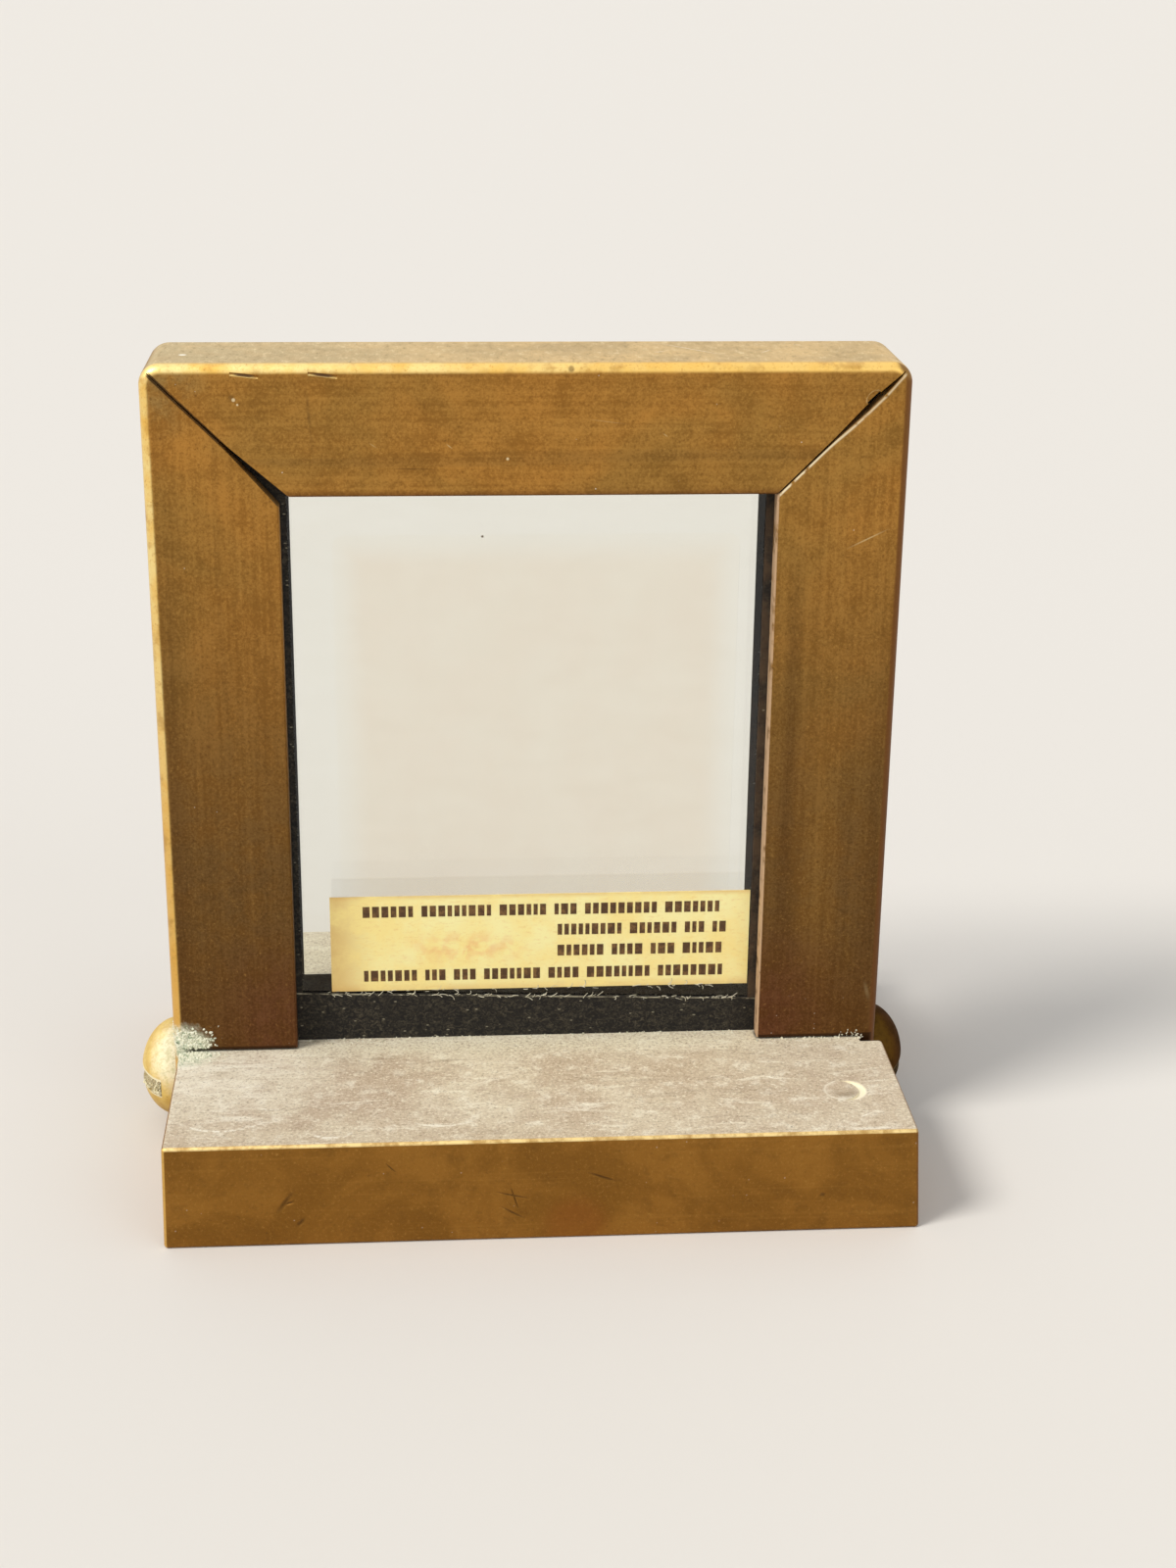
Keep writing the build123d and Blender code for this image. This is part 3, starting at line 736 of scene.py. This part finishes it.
def binding_paper(name, dusty):
    """Matt black paper with fibres, lint and a torn lap edge. dusty is how brown it has gone."""
    shade = Shade(name)
    fibre = shade.noise(2600, detail=6, roughness=0.8, stretch=(0.8, 1, 1), distortion=1.2)
    cloud = shade.noise(300, detail=5, roughness=0.65)
    colour = Paint(shade, PAPER_BLACK)
    colour.lay(PAPER_WORN, shade.ramp(fibre, 0.44, 0.68), shade.ramp(cloud, 0.3, 0.7, 0.5, 1.0))
    colour.lay(PAPER_BROWN, shade.ramp(cloud, 0.3, 0.6), dusty)
    colour.lay(LINT_PALE, shade.ramp(fibre, 0.64, 0.76), 0.5)
    lint = shade.specks(0.42, 0.08, 0.3, stretch=(0.45, 1, 1))
    colour.lay(LINT_PALE, lint, 0.5)
    left_lap, right_lap = TAPE_LAPS
    slope = (right_lap - left_lap) / (tape_high.x - tape_low.x)
    lap_edge = shade.plus(shade.times(shade.minus(shade.x, tape_low.x), slope), left_lap)
    below_edge = shade.minus(shade.plus(lap_edge, BASE_TOP), shade.z)
    torn = shade.times(
        shade.near(below_edge, 0.06, 0.12),
        shade.ramp(shade.facing_y, -0.5, -0.9),
        shade.ramp(shade.noise(420, detail=6, roughness=0.75, stretch=(1, 1, 0.2)), 0.42, 0.62),
    )
    colour.lay(LINT_PALE, torn, 0.8)
    normal = shade.bump(fibre, 0.05, 0.9)
    normal = shade.bump(cloud, 0.1, 0.4, normal)
    return shade.finish(colour, 0.0, 0.82, normal, Specular_IOR_Level=0.3)


def label_paper():
    """Yellowed gummed paper, darker at its left end and edges, with soft rusty stains."""
    shade = Shade("yellowed_label_paper")
    cloud = shade.noise(260, detail=5, roughness=0.65)
    fibre = shade.noise(3200, detail=4, roughness=0.75, stretch=(0.5, 1, 1.2))
    colour = shade.blend(shade.ramp(cloud, 0.35, 0.65), LABEL_PAPER, LABEL_LIGHT)
    left_end = shade.ramp(shade.x, label_low.x + 4.5, label_low.x)
    colour.lay(LABEL_AGED, left_end, shade.ramp(cloud, 0.25, 0.6), 0.75)
    lower_edge = shade.ramp(shade.z, label_low.z + 1.0, label_low.z)
    upper_edge = shade.ramp(shade.z, label_high.z - 0.5, label_high.z)
    edges = shade.most(lower_edge, upper_edge)
    colour.lay(LABEL_AGED, edges, shade.ramp(cloud, 0.3, 0.6), 0.6)
    middle = (label_low.z + label_high.z) / 2
    colour.lay(
        LABEL_STAIN,
        shade.near(shade.x, label_low.x + 12.0, 8.0),
        shade.near(shade.z, middle - 0.5, 2.2),
        shade.ramp(shade.noise(700, detail=3, distortion=0.5), 0.42, 0.66), 0.5,
    )
    colour.lay((176, 116, 60), shade.specks(2.3, 0.2, 0.18), 0.45)
    colour.lay((238, 206, 132), shade.ramp(fibre, 0.48, 0.3), 0.45)
    normal = shade.bump(fibre, 0.012, 0.6)
    normal = shade.bump(cloud, 0.06, 0.4, normal)
    return shade.finish(colour, 0.0, 0.68, normal)


def print_ink():
    """Faded dark-brown printing ink."""
    shade = Shade("faded_print_ink")
    patch = shade.noise(1900, detail=4, roughness=0.7)
    colour = shade.blend(shade.ramp(patch, 0.42, 0.7), PRINT_BROWN, (126, 92, 52))
    return shade.finish(colour, 0.0, 0.7)


def crust():
    """Powdery verdigris, nearly white with grey-green, dark in its cracks."""
    shade = Shade("verdigris_crust")
    patch = shade.noise(1700, detail=5, roughness=0.7)
    colour = shade.blend(shade.ramp(patch, 0.34, 0.5), CRUST_GREEN, CRUST_PALE)
    colour.lay(CRUST_DARK, shade.ramp(patch, 0.4, 0.28), 0.85)
    in_slot = shade.ramp(shade.x, 0.4 - SLOT_FLOOR, -SLOT_FLOOR)
    colour.lay((232, 224, 188), in_slot, shade.ramp(patch, 0.3, 0.42, 0.3, 0.9))
    normal = shade.bump(shade.noise(5200, detail=4), 0.02, 0.8)
    return shade.finish(colour, 0.0, 0.9, normal)


def pale_dust():
    """Grey-yellow lint and dust."""
    shade = Shade("pale_dust")
    patch = shade.noise(1800, detail=4)
    colour = shade.blend(shade.ramp(patch, 0.35, 0.65), (186, 182, 158), (230, 226, 206))
    return shade.finish(colour, 0.0, 0.95)


def dress(node_name, material):
    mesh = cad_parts[node_name].data
    mesh.materials.clear()
    mesh.materials.append(material)


def new_piece(name, mesh_data, material):
    """A mesh object from a bmesh in millimetres, riding on the one body."""
    mesh = bpy.data.meshes.new(name)
    bmesh.ops.scale(mesh_data, vec=(MM, MM, MM), verts=mesh_data.verts)
    mesh_data.to_mesh(mesh)
    mesh_data.free()
    mesh.materials.append(material)
    piece = bpy.data.objects.new(name, mesh)
    bpy.context.scene.collection.objects.link(piece)
    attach(piece, "root")
    return piece


def add_block(mesh_data, low, high):
    """A closed box between two corners."""
    size = [b - a for a, b in zip(low, high)]
    middle = [(a + b) / 2 for a, b in zip(low, high)]
    place = Matrix.Translation(middle) @ Matrix.Diagonal((*size, 1.0))
    bmesh.ops.create_cube(mesh_data, size=1.0, matrix=place)


def unit_ball():
    """Points and faces of a small round ball of radius 1."""
    ball = bmesh.new()
    bmesh.ops.create_icosphere(ball, subdivisions=2, radius=1.0)
    points = [vertex.co.copy() for vertex in ball.verts]
    faces = [[vertex.index for vertex in face.verts] for face in ball.faces]
    ball.free()
    return points, faces


def add_grain(mesh_data, ball, centre, radius, draws):
    """A small lumpy closed grain, sunk a little where it sits."""
    turn = Matrix.Rotation(draws.uniform(0, 2 * pi), 3, Vector((draws.gauss(0, 1), draws.gauss(0, 1), 1)))
    stretch = Matrix.Diagonal((draws.uniform(0.7, 1.5), draws.uniform(0.7, 1.3), draws.uniform(0.5, 0.9)))
    seed = Vector((draws.uniform(0, 50), 0, 0))
    shape = turn @ stretch
    made = []
    for point in ball[0]:
        offset = shape @ point
        lumpy = 1 + 0.45 * noise.noise(offset * 1.3 + seed)
        made.append(mesh_data.verts.new(centre + offset * radius * lumpy))
    for face in ball[1]:
        mesh_data.faces.new([made[index] for index in face])


def grains(name, places, material, seed):
    """One mesh of many grains. places yields a centre and a radius for each."""
    draws = Random(seed)
    ball = unit_ball()
    mesh_data = bmesh.new()
    for centre, radius in places(draws):
        add_grain(mesh_data, ball, centre, radius, draws)
    new_piece(name, mesh_data, material)


def crust_places(draws):
    """Round the foot of the left leg: on the flange, the bar and the leg's outer side."""
    for _ in range(300):
        from_side = 0.35 + abs(draws.gauss(0, 1.45))
        round_off = BEND_ROUND - min(from_side, BEND_ROUND)
        y = FRONT_PLANE + BEND_ROUND - sqrt(BEND_ROUND ** 2 - round_off ** 2)
        z = BASE_TOP + 0.35 + abs(draws.gauss(0, 0.75))
        yield Vector((arch_low.x + from_side, y + 0.01, z)), draws.uniform(0.06, 0.15)
    for _ in range(190):
        x = arch_low.x + 0.55 + abs(draws.gauss(0, 1.5))
        y = FRONT_PLANE - 0.15 - abs(draws.gauss(0, 0.8))
        yield Vector((x, y, BASE_TOP)), draws.uniform(0.05, 0.13)
    for _ in range(70):
        z = BASE_TOP + abs(draws.gauss(0, 1.0))
        y = FRONT_PLANE + draws.uniform(0.9, 2.6)
        yield Vector((arch_low.x, y, z)), draws.uniform(0.05, 0.12)
    turn = radians(LEFT_SLOT_ANGLE)
    for _ in range(90):
        along = draws.uniform(-3.75, -1.0)
        off = -SLOT_HALF - abs(draws.gauss(0, 0.12))
        out = DOME_CENTRE + sqrt(DOME_RADIUS ** 2 - along ** 2 - off ** 2)
        if draws.random() < 0.4:
            out = draws.uniform(SLOT_FLOOR + 0.1, out)
            off = -SLOT_HALF
        y = along * cos(turn) - off * sin(turn)
        z = SCREW_AXIS + along * sin(turn) + off * cos(turn)
        yield Vector((-out, y, z)), draws.uniform(0.06, 0.16)
    for _ in range(36):
        off = draws.choice((-1, 1)) * (SLOT_HALF - abs(draws.gauss(0, 0.22)))
        along = -sqrt(DOME_RADIUS ** 2 - (SLOT_FLOOR - DOME_CENTRE) ** 2 - off ** 2)
        y = along * cos(turn) - off * sin(turn)
        z = SCREW_AXIS + along * sin(turn) + off * cos(turn)
        yield Vector((-SLOT_FLOOR - draws.uniform(0, 0.3), y, z)), draws.uniform(0.06, 0.15)


def dust_places(draws):
    """Lint and crumbs along the foot of the glass and of the right leg, and some on the bar's top."""
    for _ in range(170):
        x = draws.uniform(-OPENING_SIDE + 0.5, OPENING_SIDE - 0.3)
        y = tape_low.y - abs(draws.gauss(0, 0.45))
        yield Vector((x, y, BASE_TOP + 0.02)), draws.uniform(0.035, 0.11)
    for _ in range(46):
        x = draws.uniform(OPENING_SIDE, ARCH_SIDE - 1.0)
        y = FRONT_PLANE - abs(draws.gauss(0, 0.15))
        yield Vector((x, y, BASE_TOP + 0.02)), draws.uniform(0.04, 0.13)
    for _ in range(16):
        x = ARCH_SIDE - draws.uniform(1.0, 3.4)
        z = BASE_TOP + draws.uniform(0.1, 0.75)
        yield Vector((x, FRONT_PLANE, z)), draws.uniform(0.04, 0.10)
    for _ in range(60):
        x = draws.uniform(base_low.x + 2, base_high.x - 2)
        y = draws.uniform(base_low.y + 1, FRONT_PLANE)
        yield Vector((x, y, BASE_TOP + 0.01)), draws.uniform(0.03, 0.07)
    for _ in range(22):
        on_left = draws.random() < 0.5
        x = draws.uniform(-OPENING_SIDE, -0.4 * ARCH_SIDE) if on_left else draws.uniform(0, ARCH_SIDE)
        yield Vector((x, draws.uniform(-5, 4), ARCH_TOP - 0.02)), draws.uniform(0.03, 0.06)


def lap_height(x):
    """Height of the bottom binding's upper edge on the front plate, which slants."""
    left_lap, right_lap = TAPE_LAPS
    return BASE_TOP + left_lap + (right_lap - left_lap) * (x - tape_low.x) / (tape_high.x - tape_low.x)


def add_fibre(mesh_data, points, radius):
    """A thin closed tube along points on an upright face."""
    sides = 5
    outwards = Vector((0, 1, 0))
    rings = []
    for index, point in enumerate(points):
        along = points[min(index + 1, len(points) - 1)] - points[max(index - 1, 0)]
        across = along.normalized().cross(outwards)
        ring = []
        for side in range(sides):
            angle = 2 * pi * side / sides
            offset = radius * (cos(angle) * across + sin(angle) * outwards)
            ring.append(mesh_data.verts.new(point + offset))
        rings.append(ring)
    for first, second in zip(rings, rings[1:]):
        for side in range(sides):
            after = (side + 1) % sides
            mesh_data.faces.new((first[side], first[after], second[after], second[side]))
    mesh_data.faces.new(list(reversed(rings[0])))
    mesh_data.faces.new(rings[-1])


def lint_fibres(material):
    """Torn paper fibres along the binding's upper edge and the label's lower edge."""
    draws = Random(17)
    mesh_data = bmesh.new()
    steps = 5
    for index in range(110):
        x = draws.uniform(label_low.x - 1, label_high.x)
        on_label = index % 3 == 0
        face = label_low.y if on_label else tape_low.y
        z = (label_low.z if on_label else lap_height(x)) + draws.gauss(-0.04, 0.07)
        length = draws.uniform(0.2, 0.8)
        heading = draws.gauss(0, 0.4)
        curl = draws.gauss(0, 0.25)
        radius = draws.uniform(0.018, 0.036)
        point = Vector((x, face - 0.4 * radius, z))
        points = [point.copy()]
        for _ in range(steps):
            point += Vector((cos(heading), 0, sin(heading))) * length / steps
            heading += curl
            points.append(point.copy())
        add_fibre(mesh_data, points, radius)
    bmesh.ops.recalc_face_normals(mesh_data, faces=mesh_data.faces)
    new_piece("lint_fibres", mesh_data, material)


def label_print(material):
    """Generic print: rows of small blocks grouped like words, with no letter shapes."""
    draws = Random(11)
    mesh_data = bmesh.new()
    face = label_low.y
    row_height = 1.05
    letter_gap = 0.22
    word_gap = 0.55
    least_word = 0.7
    # Each row's start, end and height from the label's lower left corner
    rows = (
        (2.9, 36.0, 7.2),
        (20.3, 35.8, 5.2),
        (20.3, 35.8, 3.15),
        (2.9, 35.6, 0.95),
    )
    for start, end, height in rows:
        x = label_low.x + start
        stop = label_low.x + end
        while x < stop:
            for _ in range(draws.randint(3, 9)):
                width = draws.uniform(0.36, 0.66)
                if x + width > stop:
                    break
                low = (x, face - 0.02, label_low.z + height)
                high = (x + width, face + 0.01, label_low.z + height + row_height)
                add_block(mesh_data, low, high)
                x += width + letter_gap
            x += word_gap
            if x + least_word > stop:
                break
    new_piece("label_print", mesh_data, material)


def label_sheet(material):
    """The label's own shape, its back a hair off the glass, so that the paper shows through the plates."""
    mesh_data = bmesh.new()
    mesh_data.from_mesh(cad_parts["label"].data)
    bmesh.ops.scale(mesh_data, vec=(1 / MM, 1 / MM, 1 / MM), verts=mesh_data.verts)
    middle = (label_low.y + label_high.y) / 2
    gap = 0.02
    for vertex in mesh_data.verts:
        if vertex.co.y > middle:
            vertex.co.y -= gap
    piece = new_piece("label_sheet", mesh_data, material)
    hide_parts("label")


def rounded_sheet(name, low, high, corner, thickness, material):
    """A thin upright sheet with rounded corners, between two corners, centred in depth."""
    steps = 6
    outline = []
    middle_y = (low.y + high.y) / 2
    for x, z, start in (
        (high.x - corner, high.z - corner, 0.0),
        (low.x + corner, high.z - corner, pi / 2),
        (low.x + corner, low.z + corner, pi),
        (high.x - corner, low.z + corner, 1.5 * pi),
    ):
        for step in range(steps + 1):
            angle = start + step / steps * pi / 2
            outline.append((x + corner * cos(angle), z + corner * sin(angle)))
    mesh_data = bmesh.new()
    rims = []
    for y in (middle_y - thickness / 2, middle_y + thickness / 2):
        rims.append([mesh_data.verts.new((x, y, z)) for x, z in outline])
    mesh_data.faces.new(rims[0])
    mesh_data.faces.new(list(reversed(rims[1])))
    count = len(outline)
    for index in range(count):
        after = (index + 1) % count
        mesh_data.faces.new((rims[0][after], rims[0][index], rims[1][index], rims[1][after]))
    bmesh.ops.recalc_face_normals(mesh_data, faces=mesh_data.faces)
    return new_piece(name, mesh_data, material)


# Materials on the CAD nodes
glass = plate_glass()
binding_black = binding_paper("binding_paper", 0.0)
binding_dusty = binding_paper("dusty_binding_paper", 0.75)
dress("channel_frame", frame_brass())
dress("base_block", base_brass())
dress("left_screw", screw_brass(
    "bright_screw_brass", (244, 214, 126), (228, 194, 108), (176, 136, 62),
    LEFT_SLOT_ANGLE, bloom_reach=6.4, slot_bloom=0.85, edge_tint=(255, 255, 255)))
# The right screw: the same brass painted darker as shade, with a darker specular tint.
dress("right_screw", screw_brass(
    "shaded_screw_brass", (92, 66, 24), (76, 53, 20), (62, 43, 18),
    RIGHT_SLOT_ANGLE, bloom_reach=0.0, slot_bloom=0.08, edge_tint=(140, 110, 60)))
dress("front_glass", glass)
dress("rear_glass", glass)
dress("left_binding", binding_black)
dress("right_binding", binding_dusty)
dress("top_binding", binding_black)
dress("bottom_binding", binding_black)
paper = label_paper()
dress("label", paper)

# Pieces that Blender adds
film = rounded_sheet(
    "replica_film_sheet", film_low, film_high, corner=1.0, thickness=0.04,
    material=film_sheet())
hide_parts("grating_film")
label_sheet(paper)
label_print(print_ink())
grains("verdigris_crust", crust_places, crust(), 3)
dust = pale_dust()
grains("dust_crumbs", dust_places, dust, 5)
lint_fibres(dust)


def stage_and_lights():
    """Pale floor, a soft key from the left and above, a weak fill, and an even world."""
    half_size = 3.0
    floor_data = bmesh.new()
    bmesh.ops.create_grid(floor_data, x_segments=1, y_segments=1, size=half_size)
    mesh = bpy.data.meshes.new("floor")
    floor_data.to_mesh(mesh)
    floor_data.free()
    floor = bpy.data.objects.new("floor", mesh)
    bpy.context.scene.collection.objects.link(floor)
    shade = Shade("pale_floor")
    mesh.materials.append(shade.finish(FLOOR_PALE, 0.0, 0.8))

    world = bpy.data.worlds.new("studio")
    bpy.context.scene.world = world
    world.use_nodes = True
    tree = world.node_tree
    background = tree.nodes["Background"]
    background.inputs["Color"].default_value = (1.0, 0.985, 0.97, 1.0)
    path = tree.nodes.new("ShaderNodeLightPath")
    seen = path.outputs["Is Camera Ray"]
    for ray in ("Is Glossy Ray", "Is Transmission Ray"):
        either = tree.nodes.new("ShaderNodeMath")
        either.operation = "MAXIMUM"
        tree.links.new(seen, either.inputs[0])
        tree.links.new(path.outputs[ray], either.inputs[1])
        seen = either.outputs[0]
    level = tree.nodes.new("ShaderNodeMapRange")
    level.inputs["To Min"].default_value = 0.55
    level.inputs["To Max"].default_value = 0.85
    tree.links.new(seen, level.inputs["Value"])
    tree.links.new(level.outputs["Result"], background.inputs["Strength"])

    for name, towards, strength, spread, tint in (
        ("key", (-0.60, -0.30, 0.74), 2.1, 0.35, (1.0, 0.95, 0.88)),
        ("fill", (0.55, -0.70, 0.45), 0.25, 0.60, (0.92, 0.96, 1.0)),
    ):
        lamp = bpy.data.lights.new(name, "SUN")
        lamp.energy = strength
        lamp.angle = spread
        lamp.color = tint
        holder = bpy.data.objects.new(name, lamp)
        holder.rotation_euler = Vector(towards).to_track_quat("Z", "Y").to_euler()
        bpy.context.scene.collection.objects.link(holder)


def photo_camera():
    """The photograph's viewpoint, solved from the object's straight edges."""
    image_height = 1600
    focal_pixels = 2450.0
    place = Vector((-9.83, -200.10, 108.08)) * MM
    yaw, pitch, roll = radians(4.390), radians(20.629), radians(-0.688)
    forward = Vector((sin(yaw) * cos(pitch), cos(yaw) * cos(pitch), -sin(pitch)))
    right = forward.cross(Vector((0, 0, 1))).normalized()
    down = forward.cross(right)
    right_rolled = right * cos(roll) + down * sin(roll)
    down_rolled = down * cos(roll) - right * sin(roll)
    turn = Matrix((right_rolled, -down_rolled, -forward)).transposed()
    data = bpy.data.cameras.new("photo_camera")
    data.sensor_width = 36.0
    data.lens = focal_pixels * data.sensor_width / image_height
    data.clip_start = 0.01
    camera = bpy.data.objects.new("photo_camera", data)
    camera.matrix_world = Matrix.Translation(place) @ turn.to_4x4()
    bpy.context.scene.collection.objects.link(camera)
    bpy.context.scene.camera = camera


stage_and_lights()
photo_camera()
bpy.context.scene.view_settings.view_transform = "Standard"
